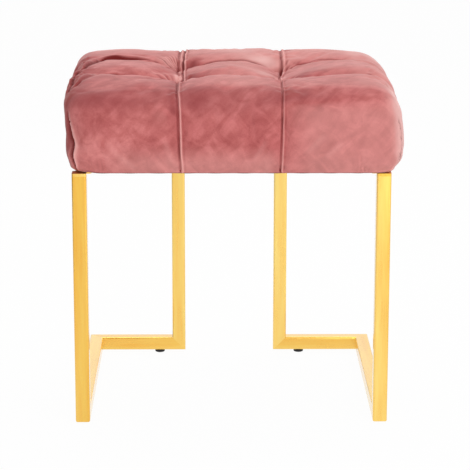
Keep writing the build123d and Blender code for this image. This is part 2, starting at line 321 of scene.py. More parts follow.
# Cushion
# A point of the velvet is named by two distances over the cloth from the middle of the seat, across
# and back. Inside the core rectangle they are plain x and y. Outside it the larger overshoot runs
# over the shoulder, down the side, under the seat and round the board, and the smaller one turns
# round the corner. Sizes of the cushion are in millimetres.

CORE_X, CORE_Y = 170.0, 137.5
TOP_Z, BASE_Z = 483.0, 360.0
RUN_TOP, RUN_SHOULDER, RUN_SIDE, RUN_UNDER, RUN_BOARD = 20.0, 63.0, 86.0, 28.0, 40.0
HEM = RUN_TOP + RUN_SHOULDER + RUN_SIDE
EDGE = HEM + RUN_UNDER
INSIDE = EDGE + RUN_BOARD
LINE_X, LINE_Y = 70.0, 60.0
TUFTS = [(x, y) for y in (-LINE_Y, LINE_Y) for x in (-LINE_X, LINE_X)]
TUFT_DEPTH, TUFT_REACH, KNOT_RISE = 12.5, 34.0, 5.0

# How far the top falls away to the front, the back and the ends
CROWN_FRONT, CROWN_BACK, CROWN_ENDS = 12.0, 5.5, 2.6
CROWN_HALF_WIDTH, CROWN_HALF_DEPTH = 200.0, 165.0

# Pillows that stand fuller or flatter than their neighbours
PILLOW_RISE = [
    (0.0, 0.0, -3.0), (-140.0, 0.0, -1.2), (-186.0, 34.0, -2.0), (106.0, 8.0, -6.6), (0.0, -110.0, 1.0),
    (-125.0, -105.0, -2.4), (140.0, -105.0, -2.4)]
PILLOW_WIDE, PILLOW_DEEP = 50.0, 45.0

# Left end, right end, front and back
SHOULDER_RADIUS = (23.0, 42.0, 35.0, 36.0)
UPPER_REACH = (57.5, 61.5, 58.0, 58.0)
FULLEST_REACH = (55.5, 66.0, 60.5, 60.5)
HEM_REACH = (51.2, 54.5, 51.5, 51.5)
HEM_RADIUS, LEFT_HEM_RADIUS, RIGHT_HEM_RADIUS, HEM_ROLL = 3.0, 11.0, 4.5, 7.0
FLANGE, VELVET_THICKNESS = 24.0, 1.5
BOARD_REACH, BOARD_TOP = 50.0, 376.8

# How round the corners are in plan: 2 is a circle, and a larger number is squarer
ROUND_ABOVE, ROUND_HEM, ROUND_BOARD = 2.3, 4.2, 2.0


def smooth(value, low, high):
    """0 at low, 1 at high and an eased step between them."""
    t = np.clip((value - low) / (high - low), 0.0, 1.0)
    return t * t * (3.0 - 2.0 * t)


def bell(value, middle, spread):
    """Bell of height 1 at a middle."""
    return np.exp(-((value - middle) / spread) ** 2)


def around_core(across, back, core_x, core_y):
    """How far points lie past a core rectangle, and which way: 0 is front or back, a right angle an end."""
    over_x, over_y = np.abs(across) - core_x, np.abs(back) - core_y
    run = np.maximum(np.maximum(over_x, over_y), 0.0)
    share = np.clip(np.minimum(over_x, over_y) / np.maximum(run, 1e-6), 0.0, 1.0)
    return run, np.radians(np.where(over_x > over_y, 90.0 - 45.0 * share, 45.0 * share))


def cloth_form(across, back):
    """Plain padded form without pillows, and where on the form each point lies."""
    run, turn = around_core(across, back, CORE_X, CORE_Y)
    side_x = np.where(across < 0, -1.0, 1.0)
    side_y = np.where(back < 0, -1.0, 1.0)
    out_x, out_y = np.sin(turn) * side_x, np.cos(turn) * side_y

    def by_side(values):
        end = np.where(across < 0, values[0], values[1])
        face = np.where(back < 0, values[2], values[3])
        return end * out_x ** 2 + face * out_y ** 2

    radius = by_side(SHOULDER_RADIUS)
    radius = radius + 8.0 * np.clip(across / CORE_X, -1, 1) * out_y ** 2
    upper, fullest, hem = by_side(UPPER_REACH), by_side(FULLEST_REACH), by_side(HEM_REACH)
    top = np.clip(run / RUN_TOP, 0, 1)
    bend = np.clip((run - RUN_TOP) / RUN_SHOULDER, 0, 1) * math.pi / 2
    fall = np.clip((run - RUN_TOP - RUN_SHOULDER) / RUN_SIDE, 0, 1)
    roll = np.clip((run - HEM) / HEM_ROLL, 0, 1) * math.pi / 2
    inward = np.clip((run - HEM - HEM_ROLL) / (RUN_UNDER - HEM_ROLL), 0, 1)
    corner_radius = np.where(across < 0, LEFT_HEM_RADIUS, RIGHT_HEM_RADIUS)
    hem_radius = HEM_RADIUS + (corner_radius - HEM_RADIUS) * (2 * out_x * out_y) ** 2
    away = top * (upper - radius) + radius * np.sin(bend)
    away = away + (fullest - upper) * np.sin(np.clip(fall / 0.6, 0, 1) * math.pi / 2)
    away = away - (fullest - hem) * np.clip((fall - 0.5) / 0.5, 0, 1) ** 2.4
    away = away - hem_radius * (1 - np.cos(roll)) - FLANGE * inward
    height = TOP_Z - radius * (1 - np.cos(bend))
    height = height - (TOP_Z - radius - BASE_Z - hem_radius) * fall - hem_radius * np.sin(roll)
    # Past the flange the cloth's inner face follows the board: up, out, and up again
    step = np.clip((run - EDGE) / RUN_BOARD, 0, 1)
    away = away + (BOARD_REACH - hem + hem_radius + FLANGE) * np.clip((step - 0.1) / 0.5, 0, 1)
    height = height + VELVET_THICKNESS * np.clip(step / 0.1, 0, 1)
    height = height + (BOARD_TOP - BASE_Z - VELVET_THICKNESS) * np.clip((step - 0.6) / 0.4, 0, 1)

    squareness = ROUND_ABOVE + (ROUND_HEM - ROUND_ABOVE) * smooth(fall, 0.6, 1.0)
    squareness = squareness + (ROUND_BOARD - ROUND_HEM) * smooth(step, 0.1, 0.6)
    wide = (np.abs(out_x) ** squareness + np.abs(out_y) ** squareness) ** (-1.0 / squareness)
    away = np.where(run > 0, away * wide, 0.0)
    place = np.stack([
        np.clip(across, -CORE_X, CORE_X) + away * out_x,
        np.clip(back, -CORE_Y, CORE_Y) + away * out_y, height], -1)
    slope = np.where(place[..., 1] < 0, CROWN_FRONT, CROWN_BACK)
    crown = slope * np.minimum(1.0, np.abs(place[..., 1]) / CROWN_HALF_DEPTH) ** 2
    crown = crown + CROWN_ENDS * np.minimum(1.1, np.abs(place[..., 0]) / CROWN_HALF_WIDTH) ** 3
    for x, y, rise in PILLOW_RISE:
        crown = crown - rise * bell(place[..., 0], x, PILLOW_WIDE) * bell(place[..., 1], y, PILLOW_DEEP)
    place[..., 2] -= crown * (1 - fall)
    straight = 1.0 - np.sin(2.0 * turn) ** 2
    return place, {"run": run, "turn": np.degrees(turn), "straight": straight, "away": away}


def grid_normals(place):
    """Outward unit normals of a grid of points, from its own neighbours."""
    normal = np.cross(np.gradient(place, axis=1), np.gradient(place, axis=0))
    return normal / np.maximum(np.linalg.norm(normal, axis=-1, keepdims=True), 1e-9)


def crease(distance, depth, reach, power):
    """Valley of a given depth that dies out at a given reach; a low power makes it broad."""
    return depth * np.clip(1.0 - np.abs(distance) / reach, 0.0, 1.0) ** power


def pillow_depth(across, back):
    """How far each point is drawn in by the lines of tufting and by the tufts."""
    far_x, far_y = np.abs(across), np.abs(back)
    stops_y = [0, 30, 60, 85, 110, 150, 185, 220, 306]
    column_depth = np.interp(far_y, stops_y, [18.0, 19.0, 20.0, 10.5, 6.0, 2.4, 1.4, 0.9, 0.5])
    column_reach = np.interp(far_y, stops_y, [82.0, 82.0, 84.0, 86.0, 84.0, 62.0, 40.0, 30.0, 24.0])
    stops_x = [0, 35, 70, 100, 135, 170, 215, 253, 339]
    row_depth = np.interp(far_x, stops_x, [14.0, 16.0, 20.0, 12.0, 8.0, 6.0, 4.2, 2.6, 1.0])
    row_reach = np.interp(far_x, stops_x, [58.0, 58.0, 60.0, 52.0, 42.0, 34.0, 26.0, 18.0, 14.0])
    total = np.zeros_like(across)
    for line in (-LINE_X, LINE_X):
        kept = 1.0 - 0.55 * smooth(back, 75.0, 110.0) * (line > 0)
        total += crease(across - line, column_depth * kept, column_reach, 1.7) ** 3
    for line in (-LINE_Y, LINE_Y):
        kept = 1.0 - 0.75 * smooth(-across, 150.0, 190.0) * (line < 0)
        total += crease(back - line, row_depth * kept, row_reach, 2.2) ** 3
    depth = np.cbrt(total)
    for x, y in TUFTS:
        depth += crease(np.hypot(across - x, back - y), TUFT_DEPTH, TUFT_REACH, 2.0)
    return depth * smooth(np.maximum(far_x - CORE_X, far_y - CORE_Y), HEM + 3.0, HEM - 6.0)


def drift(across, back):
    """Sideways wander of the two long lines of tufting, which were pulled by hand."""
    stops = [-306, -250, -165, -60, 60, 150, 300]
    left = np.interp(back, stops, [1.9, -0.3, -3.4, -3.5, -1.5, 0.0, 2.0])
    right = np.interp(back, stops, [-3.2, -1.6, -0.3, 1.5, 3.5, 4.5, 2.0])
    return left * bell(across, -LINE_X, 42.0) + right * bell(across, LINE_X, 42.0)


def pillowed(across, back):
    """Places of the velvet with its pillows and tufts, before any swelling."""
    place, spot = cloth_form(across, back)
    place = place - grid_normals(place) * pillow_depth(across, back)[..., None]
    place[..., 0] += drift(across, back) * smooth(spot["run"], HEM + 10.0, HEM)
    return place, spot


def graded_steps(line, core, growth, at_shoulder):
    """Grid positions out to the inside edge, crowded at a line of tufting, the shoulder and the hem."""
    def step(at):
        past = at - core
        at_line = 0.7 + growth * max(0.0, abs(at - line) - 6.0)
        at_hem = 1.4 + 0.14 * max(0.0, HEM - past) + 0.6 * max(0.0, past - HEM - HEM_ROLL)
        over_shoulder = at_shoulder + 0.12 * max(0.0, abs(past - 29.0) - 26.0)
        return min(5.0 if past < HEM else 12.0, at_line, at_hem, over_shoulder)
    inner, at = [line], line
    while at > 0:
        at = max(0.0, at - step(at))
        inner.append(at)
    outer = [line]
    while outer[-1] < core + INSIDE:
        outer.append(min(core + INSIDE, outer[-1] + step(outer[-1])))
    bends = [HEM, HEM + HEM_ROLL, EDGE, EDGE + 0.1 * RUN_BOARD, EDGE + 0.6 * RUN_BOARD]
    half = np.array(sorted(set(inner + outer + [core + bend for bend in bends])))
    half = half[np.concatenate([[True], np.diff(half) > 1e-3])]
    return np.concatenate([-half[:0:-1], half])


def spread_steps(grid, points):
    """Matrix that carries values on an even grid to other points with smooth cubic weights."""
    pitch = grid[1] - grid[0]
    at = np.clip((points - grid[0]) / pitch, 0, len(grid) - 1 - 1e-9)
    base = np.floor(at).astype(int)
    t = at - base
    weights = [(-t + 2 * t ** 2 - t ** 3) / 2, (2 - 5 * t ** 2 + 3 * t ** 3) / 2,
               (t + 4 * t ** 2 - 3 * t ** 3) / 2, (-t ** 2 + t ** 3) / 2]
    carry = np.zeros((len(points), len(grid)))
    for offset, weight in zip((-1, 0, 1, 2), weights):
        np.add.at(carry, (np.arange(len(points)), np.clip(base + offset, 0, len(grid) - 1)), weight)
    return carry


def swelling(columns, rows):
    """Movement of the velvet when the filling presses out, from a cloth simulation on an even grid."""
    pitch, limit, frames = 8.0, 6.0, 20
    even_x = np.linspace(columns[0], columns[-1], int((columns[-1] - columns[0]) / pitch) | 1)
    even_y = np.linspace(rows[0], rows[-1], int((rows[-1] - rows[0]) / pitch) | 1)
    across, back = np.meshgrid(even_x, even_y)
    start, spot = pillowed(across, back)
    held = smooth(spot["run"], HEM - 14.0, HEM - 2.0)
    for x, y in TUFTS:
        held = np.maximum(held, smooth(np.hypot(across - x, back - y), 16.0, 6.0))
    for line, value, far in ((LINE_X, across, back), (LINE_Y, back, across)):
        held = np.maximum(held, 0.8 * smooth(np.abs(np.abs(value) - line), 7.0, 2.0) * (np.abs(far) < 230))
    trial = cloth_mesh("swelling_trial", start)
    group = trial.vertex_groups.new(name="held")
    for index, weight in enumerate(held.ravel()):
        if weight > 0:
            group.add([index], float(weight), "REPLACE")
    cloth = trial.modifiers.new("swelling", "CLOTH")
    settings = cloth.settings
    settings.quality = 3
    settings.mass = 0.25
    settings.tension_stiffness = settings.compression_stiffness = 18.0
    settings.shear_stiffness = 9.0
    settings.bending_stiffness = 0.6
    settings.use_pressure = True
    settings.uniform_pressure_force = 4.0
    settings.shrink_min = -0.025
    settings.vertex_group_mass = "held"
    settings.effector_weights.gravity = 0.0
    cloth.collision_settings.use_collision = False
    cloth.collision_settings.use_self_collision = False
    cloth.point_cache.frame_start, cloth.point_cache.frame_end = 1, frames
    for frame_number in range(1, frames + 1):
        scene.frame_set(frame_number)
    settled = trial.evaluated_get(bpy.context.evaluated_depsgraph_get()).data
    after = np.empty(len(settled.vertices) * 3, dtype=np.float32)
    settled.vertices.foreach_get("co", after)
    moved = after.reshape(start.shape).astype(float) / MM - start
    scene.frame_set(1)
    bpy.data.objects.remove(trial)
    moved /= 1.0 + np.linalg.norm(moved, axis=-1, keepdims=True) / limit
    carry_x, carry_y = spread_steps(even_x, columns), spread_steps(even_y, rows)
    return np.einsum("ri,ijk,cj->rck", carry_y, moved, carry_x)


# Folds of the velvet
# Each function gives how far the velvet is lifted, and the painted shade and painted highlight that it puts
# there.

def pleat(distance, width, depth, lip, dark, bright):
    """Tucked pleat across its line: a groove with a raised fold beside it and a slight valley beyond, with
    painted shade in the groove and valley and a painted highlight on the fold.
    """
    groove = bell(distance, -0.6 * width, 0.62 * width)
    ridge = bell(distance, 0.75 * width, 0.5 * width)
    beyond = bell(distance, 1.8 * width, 0.55 * width)
    return lip * ridge - depth * (groove + 0.3 * beyond), bright * ridge - dark * (groove + 0.3 * beyond)


def column_pleats(across, back):
    """Pleats along the two lines from front to back, drawn apart behind the front tufts."""
    far = np.abs(back)
    stops = [0, 40, 60, 150, 190, 306]
    behind = smooth(back, 0.0, 25.0) * smooth(back, 210.0, 160.0)
    lift, tone = np.zeros((2,) + across.shape)
    # Painted shade in the groove and painted highlight on the lip of each line, by how far back it lies
    for line, apart, width, wider, dark, bright in (
        (-LINE_X, -3.0, 2.5, 0.5, [0.3, 0.8, 1.0, 1.0, 0.45, 0.4], [0.4, 0.5, 0.5, 0.6, 1.0, 1.0]),
        (LINE_X, 3.5, 1.9, 1.3, [0.6, 0.9, 0.9, 0.7, 0.55, 0.5], [0.3, 0.3, 0.1, 0.1, 0.35, 1.0]),
    ):
        width = width + wider * behind
        dark, bright = np.interp(far, stops, dark), np.interp(far, stops, bright)
        raised, toned = pleat(across - line - apart * behind, width, 3.0, 1.6,
                              dark + (1.0 - dark) * behind, bright + (1.15 - bright) * behind)
        strength = np.interp(far, stops, [0.6, 0.9, 1.0, 0.7, 0.9, 1.0]) * (np.abs(across) < CORE_X)
        strength = strength * (0.88 + 0.12 * np.sin(far / 17.0 + line))
        if line < 0:
            strength = strength * (1.0 - 0.7 * bell(back, -20.0, 22.0))
        lift += raised * strength
        tone += toned * strength
    return lift, tone


def row_pleats(across, back):
    """Pleats along the two lines from end to end, with painted shade in the groove and no painted highlight
    on the lip.
    """
    far = np.abs(across)
    strength = np.interp(far, [0, 40, 60, 110, 180, 290, 320], [0.75, 0.85, 1.0, 0.7, 0.75, 0.8, 0.8])
    strength = strength * (np.abs(back) < CORE_Y)
    lift, tone = np.zeros((2,) + across.shape)
    for line in (-LINE_Y, LINE_Y):
        kept = 1.0 - (smooth(-across, 140.0, 185.0) if line < 0 else smooth(-across, 130.0, 165.0))
        seen = (line > 0) * (13.0 * bell(across, 4.0, 46.0) + 9.0 * bell(across, 128.0, 44.0)
                             + 11.0 * smooth(-across, 84.0, 122.0))
        raised, toned = pleat(line + seen - back, 2.2 + 0.1 * seen, 2.6, 0.8, 0.9, 0.15)
        lift += raised * strength * kept
        tone += toned * strength * kept
    return lift, tone


def doubled_fold(across, back):
    """Second fold beside the left line behind its front tuft, with painted shade and highlight, and a small
    knot of cloth on each line with a painted highlight.
    """
    line = -LINE_X + 4.0 + 2.0 * smooth(back, 20.0, -10.0)
    strength = smooth(back, -50.0, -38.0) * smooth(back, 178.0, 150.0)
    lift, tone = pleat(across - line, 2.2, 1.8, 1.7, 0.75, 0.95)
    lift, tone = lift * strength, tone * strength
    for x, y, rise, pale in ((-72.0, -27.0, 3.0, 2.2), (73.0, -25.0, 2.0, 0.7)):
        knot = bell(across, x, 5.5) * bell(back, y, 15.0)
        lift += rise * knot
        tone += pale * knot
    return lift, tone


def bent_line(across, back, at_x, at_y, bend):
    """Distance to a line that runs to the left, turns and runs on to the front; negative inside the turn."""
    to_x, to_y = bend - across + at_x, bend - at_y + back
    outside = np.hypot(np.maximum(to_x, 0), np.maximum(to_y, 0)) - bend
    return outside + np.minimum(np.maximum(to_x, to_y), 0)


def end_creases(across, back):
    """Creases of the left pillows, which turn at the end and run down the shoulder to the front, with painted
    shade along them.
    """
    at_x = np.interp(back, [-150.0, -120.0, -90.0, -54.0, -37.0, -19.0, 5.0, 40.0],
                     [-225.0, -221.0, -217.0, -211.0, -202.0, -192.0, -186.0, -179.0])
    distance = bent_line(across, back, at_x, 71.0 + 4.0 * smooth(-across, 146.0, 178.0), 22.0)
    at_turn = bell(across, -172.0, 14.0) * smooth(back, 36.0, 52.0)
    thin = 2.8 - 1.0 * smooth(back, 52.0, 36.0)
    strength = smooth(across, -104.0, -168.0) * smooth(back, -150.0, -128.0)
    lift = (2.6 * bell(distance, 6.0, 4.2) - 3.8 * bell(distance, -0.5, 3.0)) * strength
    dark = (1.0 + 0.6 * smooth(-across, 140.0, 175.0)) * bell(distance, 1.0 + 1.5 * at_turn, thin)
    tone = (0.15 * bell(distance, 7.0, 3.0) - dark) * strength

    at_x = np.interp(back, [-140.0, -133.0, -117.0, -102.0, -85.0], [-214.0, -204.0, -193.0, -188.0, -182.0])
    distance = bent_line(across, back, at_x, -58.0, 24.0)
    strength = smooth(across, -135.0, -165.0) * smooth(back, -146.0, -128.0)
    lift += (1.3 * bell(distance, 5.0, 4.0) - 2.0 * bell(distance, -0.5, 3.0)) * strength
    return lift, tone - 0.55 * bell(distance, 0.8, 2.2) * strength


def corner_tucks(place, spot, across, back):
    """One folded tuck in each corner, opening below the shoulder and closing at the hem, with a painted
    shadow in its slit and a painted highlight on its lip.
    """
    in_corner = (np.abs(across) > CORE_X) & (np.abs(back) > CORE_Y)
    wide_open = (across < 0) & (back < 0)
    path_open = np.interp(spot["run"], [92.0, 160.0], [55.5, 43.0])
    path_closed = np.interp(
        spot["run"], [77.0, 90.0, 120.0, 135.0, 149.0, 165.0], [60.0, 63.8, 63.3, 62.0, 57.0, 50.0])
    path_closed = np.where(back < 0, path_closed, np.interp(spot["run"], [77.0, 165.0], [54.0, 46.0]))
    beside = spot["away"] * np.radians(np.where(wide_open, path_open, path_closed) - spot["turn"])
    height = place[..., 2]
    width = np.where(wide_open, 1.8 + 5.0 * bell(height, 402.0, 25.0), 2.5)
    groove = bell(beside, -0.6 * width, 0.62 * width)
    lip = bell(beside, 0.85 * width, 0.6 * width)
    start = np.where((across > 0) & (back < 0), 434.0, 446.0)
    strength = smooth(height, start, start - 14.0) * in_corner
    shadow = np.clip(1.6 * bell(beside, -0.75 * width, 0.6 * width), 0.0, 1.3)
    lift = (1.8 * lip - np.where(wide_open, 9.0, 4.5) * groove) * strength
    return lift, (lip - shadow) * strength


def tuft_gathers(across, back):
    """Fine pleats that meet over the knot of each tuft, and a fan of closer ones at the back left tuft, with
    painted highlights on their ridges and painted shade in their grooves.
    """
    lift, tone = np.zeros((2,) + across.shape)
    height, width = 1.1, 2.2

    def from_tuft(x, y):
        return np.hypot(across - x, back - y), np.degrees(np.arctan2(back - y, across - x))

    for number, (x, y) in enumerate(TUFTS):
        reach, angle = from_tuft(x, y)
        lift += KNOT_RISE * bell(reach, 0.0, 7.0)
        # The back right tuft has two pleats fewer
        for k in range(2 * (number == 3), 7):
            toward, length = number * 37 + k * 51 + 13 * (k % 3), 26 + 9 * ((k * 5 + number) % 4)
            off = (angle - toward + 180.0) % 360.0 - 180.0
            beside = np.radians(off) * reach
            along = smooth(reach, 4.0, 10.0) * smooth(reach, length, 0.55 * length) * (np.abs(off) < 60)
            ridge, groove = bell(beside, 0.0, width), bell(beside, 2.0 * width, width)
            lift += along * height * (ridge - 0.6 * groove)
            tone += along * (0.35 * ridge - 0.45 * groove)
    reach, angle = from_tuft(*TUFTS[2])
    fan = np.cos(np.radians((angle - 110.0) * 360.0 / 8.4))
    fan = fan * smooth(angle, 98.0, 108.0) * smooth(angle, 156.0, 148.0)
    fan = fan * smooth(reach, 8.0, 15.0) * smooth(reach, 46.0, 34.0)
    return lift + 0.9 * fan, tone + 0.12 * np.abs(fan) + 0.6 * fan


def drag_folds(across, spot, back):
    """Soft slanting folds where the velvet is pulled down to the board at the front, with painted highlight
    and shade along them.
    """
    lift, tone = np.zeros((2,) + across.shape)
    run = spot["run"]
    for x0, run0, x1, run1, rise in (
        (-170.0, 118.0, -138.0, 162.0, 1.0), (-152.0, 138.0, -128.0, 166.0, 0.8),
        (-92.0, 112.0, -80.0, 158.0, 0.7), (122.0, 148.0, 152.0, 108.0, 0.7),
        (96.0, 142.0, 128.0, 96.0, 0.6), (26.0, 158.0, 50.0, 110.0, 0.6),
    ):
        length = math.hypot(x1 - x0, run1 - run0)
        ahead = ((across - x0) * (x1 - x0) + (run - run0) * (run1 - run0)) / length
        beside = ((across - x0) * (run1 - run0) - (run - run0) * (x1 - x0)) / length
        along = smooth(ahead, 0.0, 0.35 * length) * smooth(ahead, length, 0.75 * length) * (back < -CORE_Y)
        lift += rise * along * (bell(beside, 0.0, 4.5) - 0.5 * bell(beside, 8.0, 5.0))
        tone += along * (0.16 * bell(beside, 0.0, 4.5) - 0.12 * bell(beside, 8.0, 5.0))
    return lift, tone


def uneven_filling(across, spot, back):
    """Small puckers along the hem, and the slight unevenness of hand-stuffed filling."""
    run = spot["run"]
    around = np.where(spot["turn"] > 45.0, back, across)
    puckers = np.sin(around / 4.3 + 2.0 * np.sin(around / 31.0)) * bell(run, HEM - 4.0, 11.0)
    waves = np.sin(across / 23.0 + back / 61.0) * np.sin(back / 29.0 - across / 47.0)
    lift = 0.4 * puckers * spot["straight"] + 0.9 * waves * smooth(run, HEM, HEM - 24.0)
    return lift, np.zeros_like(across)


def lie_of_nap(across, back, spot):
    """Painted light and shade on the velvet: painted shade under the crest and in hollows, painted light
    towards the hem, the back and the right.
    """
    run, turn = spot["run"], spot["turn"]
    ahead = smooth(back, -40.0, -90.0)
    on_top = smooth(run, 28.0, 8.0)
    front_corner = (back < 0) * smooth(run, 32.0, 62.0)
    right = smooth(across, 20.0, 100.0)

    # Painted shade in a band under the front crest, darker in three patches and narrower to the right
    patches = bell(across, -195.0, 50.0) + bell(across, -50.0, 24.0) + 1.5 * bell(across, 78.0, 24.0)
    patches = 0.48 + 0.55 * patches - 0.4 * smooth(across, 108.0, 165.0)
    nap = -1.05 * patches * smooth(run, 10.0, 28.0)
    nap *= 1.0 - smooth(run, 52.0 - 16.0 * right, 90.0 - 30.0 * right)
    nap -= 0.7 * bell(across, -78.0, 5.0) * ahead * smooth(run, 115.0, 60.0)

    # Painted light towards the hem, the back, the middle and the right
    left = smooth(-across, 120.0, 190.0)
    nap += 0.75 * smooth(run, 118.0, 160.0) * (1.0 - (0.85 * right + 0.75 * left) * ahead)
    nap += 0.4 * bell(across, 50.0, 14.0) * smooth(run, 122.0, 150.0) * ahead
    nap += 0.35 * bell(across, -96.0, 14.0) * bell(run, 75.0, 16.0) * ahead
    nap -= 0.32 * bell(across, 86.0, 20.0) * bell(run, 26.0, 14.0) * ahead
    nap += 0.6 * smooth(back, 10.0, 130.0) * smooth(run, 70.0, 50.0)
    nap += (0.35 * right + 0.65 * bell(across, 12.0, 40.0)) * on_top
    nap += 0.7 * smooth(across, 60.0, 120.0) * smooth(run, 42.0, 70.0) * ahead
    right_end = smooth(across, CORE_X - 15.0, CORE_X + 40.0) * smooth(run, 120.0, 45.0)
    nap += 1.05 * right_end * smooth(back, -175.0, -115.0)
    nap += 1.05 * front_corner * (across > 0) * smooth(turn, 40.0, 66.0) * smooth(back, -60.0, -170.0)

    # Painted shade in the valleys, at the left end and in the hollows beside the tufts
    nap -= 0.6 * smooth(pillow_depth(across, back), 10.0, 32.0)
    left_end = smooth(-across, CORE_X, CORE_X + 34.0) * smooth(run, 125.0, 45.0)
    nap -= 0.8 * left_end * smooth(back, -165.0, -110.0) * smooth(back, 130.0, 30.0)
    nap -= 1.7 * front_corner * (across < 0) * smooth(turn, 52.0, 64.0) * smooth(back, -40.0, -170.0)
    for x, y, wide, deep, dark in (
        (-53.0, 74.0, 10.0, 13.0, 1.6), (-53.0, -40.0, 11.0, 18.0, 1.5), (106.0, 64.0, 17.0, 12.0, 1.5),
        (98.0, -48.0, 22.0, 14.0, 1.4),
    ):
        nap -= dark * bell(across, x, wide) * bell(back, y, deep)

    # Painted highlights beside the two right tufts and at the fan of the back left one
    for x, y, wide, deep, pale in (
        (50.0, -28.0, 24.0, 20.0, 1.0), (50.0, 80.0, 24.0, 17.0, 1.0), (-92.0, 76.0, 15.0, 14.0, 0.9),
    ):
        nap += pale * bell(across, x, wide) * bell(back, y, deep)
    return nap


def stuffed_cushion():
    """The tufted velvet cushion as one closed mesh, hollow below for the board."""
    columns = graded_steps(LINE_X, CORE_X, 0.06, 1.9)
    rows = graded_steps(LINE_Y, CORE_Y, 0.05, 3.4)
    across, back = np.meshgrid(columns, rows)
    place, spot = pillowed(across, back)
    place = place + swelling(columns, rows)
    run = spot["run"]
    folds = [
        column_pleats(across, back), row_pleats(across, back), doubled_fold(across, back),
        end_creases(across, back), corner_tucks(place, spot, across, back), tuft_gathers(across, back),
        drag_folds(across, spot, back), uneven_filling(across, spot, back)]
    outside = smooth(run, HEM + 6.0, HEM - 1.0)
    lift = sum(raised for raised, _ in folds) * outside
    fold = sum(toned for _, toned in folds) * outside
    # Painted shade along the hem, where the cloth rolls under the seat
    fold = fold - 1.4 * smooth(run, HEM + 2.0, HEM + 0.8 * HEM_ROLL) * spot["straight"]
    place = place + grid_normals(place) * lift[..., None]
    nap = lie_of_nap(across, back, spot)
    return cloth_mesh("tufted_cushion", place, fold=np.clip(fold, -1, 1), nap=np.clip(nap, -2, 2))


def grid_faces(rows, columns):
    """Quads of a grid of points, and the points of its rim in order."""
    index = np.arange(rows * columns).reshape(rows, columns)
    quads = np.stack([index[:-1, :-1], index[:-1, 1:], index[1:, 1:], index[1:, :-1]], -1).reshape(-1, 4)
    return quads, np.concatenate([index[0, :-1], index[:-1, -1], index[-1, :0:-1], index[:0:-1, 0]])


def cloth_mesh(name, place, **layers):
    """Closed smooth mesh from a grid of points in millimetres, with its rim filled, and its value layers."""
    quads, rim = grid_faces(*place.shape[:2])
    mesh = bpy.data.meshes.new(name)
    mesh.from_pydata((place.reshape(-1, 3) * MM).tolist(), [], quads.tolist() + [rim[::-1].tolist()])
    for layer, values in layers.items():
        made = mesh.attributes.new(layer, "FLOAT", "POINT")
        made.data.foreach_set("value", values.astype(np.float32).ravel())
    mesh.polygons.foreach_set("use_smooth", [True] * len(quads) + [False])
    return placed(name, mesh)


cushion = stuffed_cushion()
cushion.data.materials.append(VELVET)
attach(cushion, "stool")
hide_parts("velvet_cover", "wadding", "seat_foam")


# Dust cloth under the seat

CLOTH_X, CLOTH_Y, CLOTH_CORNER = 215.5, 183.0, 45.0
CLOTH_LOW, CLOTH_THICKNESS, CLOTH_SAG, CLOTH_SAG_Y = 359.25, 0.5, 2.6, 160.0

# The slanting bars that the cloth sags between: how far out at the front and the rear, and their room
BAR_FRONT_X, BAR_REAR_X, BAR_END_Y, BAR_ROOM = 207.5, 78.5, 175.0, 24.0


def stretched_dust_cloth():
    """Black cloth over the underside, stapled at its edge, sagging a little between the two bars."""
    half_x, half_y = np.linspace(0, CLOTH_X, 62), np.linspace(0, CLOTH_Y, 54)
    across, back = np.meshgrid(
        np.concatenate([-half_x[:0:-1], half_x]), np.concatenate([-half_y[:0:-1], half_y]))
    core_x, core_y = CLOTH_X - CLOTH_CORNER, CLOTH_Y - CLOTH_CORNER
    run, turn = around_core(across, back, core_x, core_y)
    x = np.clip(across, -core_x, core_x) + run * np.sin(turn) * np.sign(across)
    y = np.clip(back, -core_y, core_y) + run * np.cos(turn) * np.sign(back)
    bar_x = BAR_FRONT_X - (BAR_FRONT_X - BAR_REAR_X) * (y + BAR_END_Y) / (2 * BAR_END_Y)
    sag = np.clip(1 - (x / (bar_x - BAR_ROOM)) ** 2, 0, 1) * np.clip(1 - (y / CLOTH_SAG_Y) ** 2, 0, 1)
    pucker = 0.25 * np.sin((x + y) / 6.2) * smooth(run, CLOTH_CORNER - 10.0, CLOTH_CORNER)
    low = np.stack([x, y, CLOTH_LOW + pucker - CLOTH_SAG * sag], -1)
    high = low + np.array([0.0, 0.0, CLOTH_THICKNESS])
    upper, rim = grid_faces(*x.shape)
    after = np.roll(rim, -1)
    edge = np.stack([rim, rim + x.size, after + x.size, after], -1)
    mesh = bpy.data.meshes.new("dust_cloth")
    points = np.concatenate([high.reshape(-1, 3), low.reshape(-1, 3)]) * MM
    mesh.from_pydata(points.tolist(), [], np.concatenate([upper, upper[:, ::-1] + x.size, edge]).tolist())
    mesh.polygons.foreach_set("use_smooth", [True] * (2 * len(upper)) + [False] * len(edge))
    mesh.materials.append(DUST_CLOTH)
    return placed("dust_cloth", mesh)


dust_cloth = stretched_dust_cloth()
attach(dust_cloth, "stool")
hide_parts("dust_cover")


# Small metal pieces made by geometry nodes

def settle(name, tree, values):
    """Object whose mesh is what a geometry node tree makes with the given values."""
    holder = placed(name + "_maker", bpy.data.meshes.new(name + "_maker"))
    maker = holder.modifiers.new("maker", "NODES")
    maker.node_group = tree
    for socket in tree.interface.items_tree:
        if socket.in_out == "INPUT" and socket.name in values:
            maker[socket.identifier] = values[socket.name]
    bpy.context.view_layer.update()
    mesh = bpy.data.meshes.new_from_object(holder.evaluated_get(bpy.context.evaluated_depsgraph_get()))
    holder.modifiers.remove(maker)
    bpy.data.objects.remove(holder)
    mesh.name = name
    return placed(name, mesh)


def shaped(tree, kind, inputs=None, **settings):
    """What a geometry node puts out first, by the end of its type name."""
    return put(tree, "GeometryNode" + kind, inputs, **settings).outputs[0]


def vector(tree, **parts):
    """Vector made of values or sockets for X, Y and Z."""
    return put(tree, "ShaderNodeCombineXYZ", parts).outputs[0]


def joined(tree, parts):
    """Several geometries as one."""
    made = tree.nodes.new("GeometryNodeJoinGeometry")
    for part in parts:
        tree.links.new(part, made.inputs[0])
    return made.outputs[0]


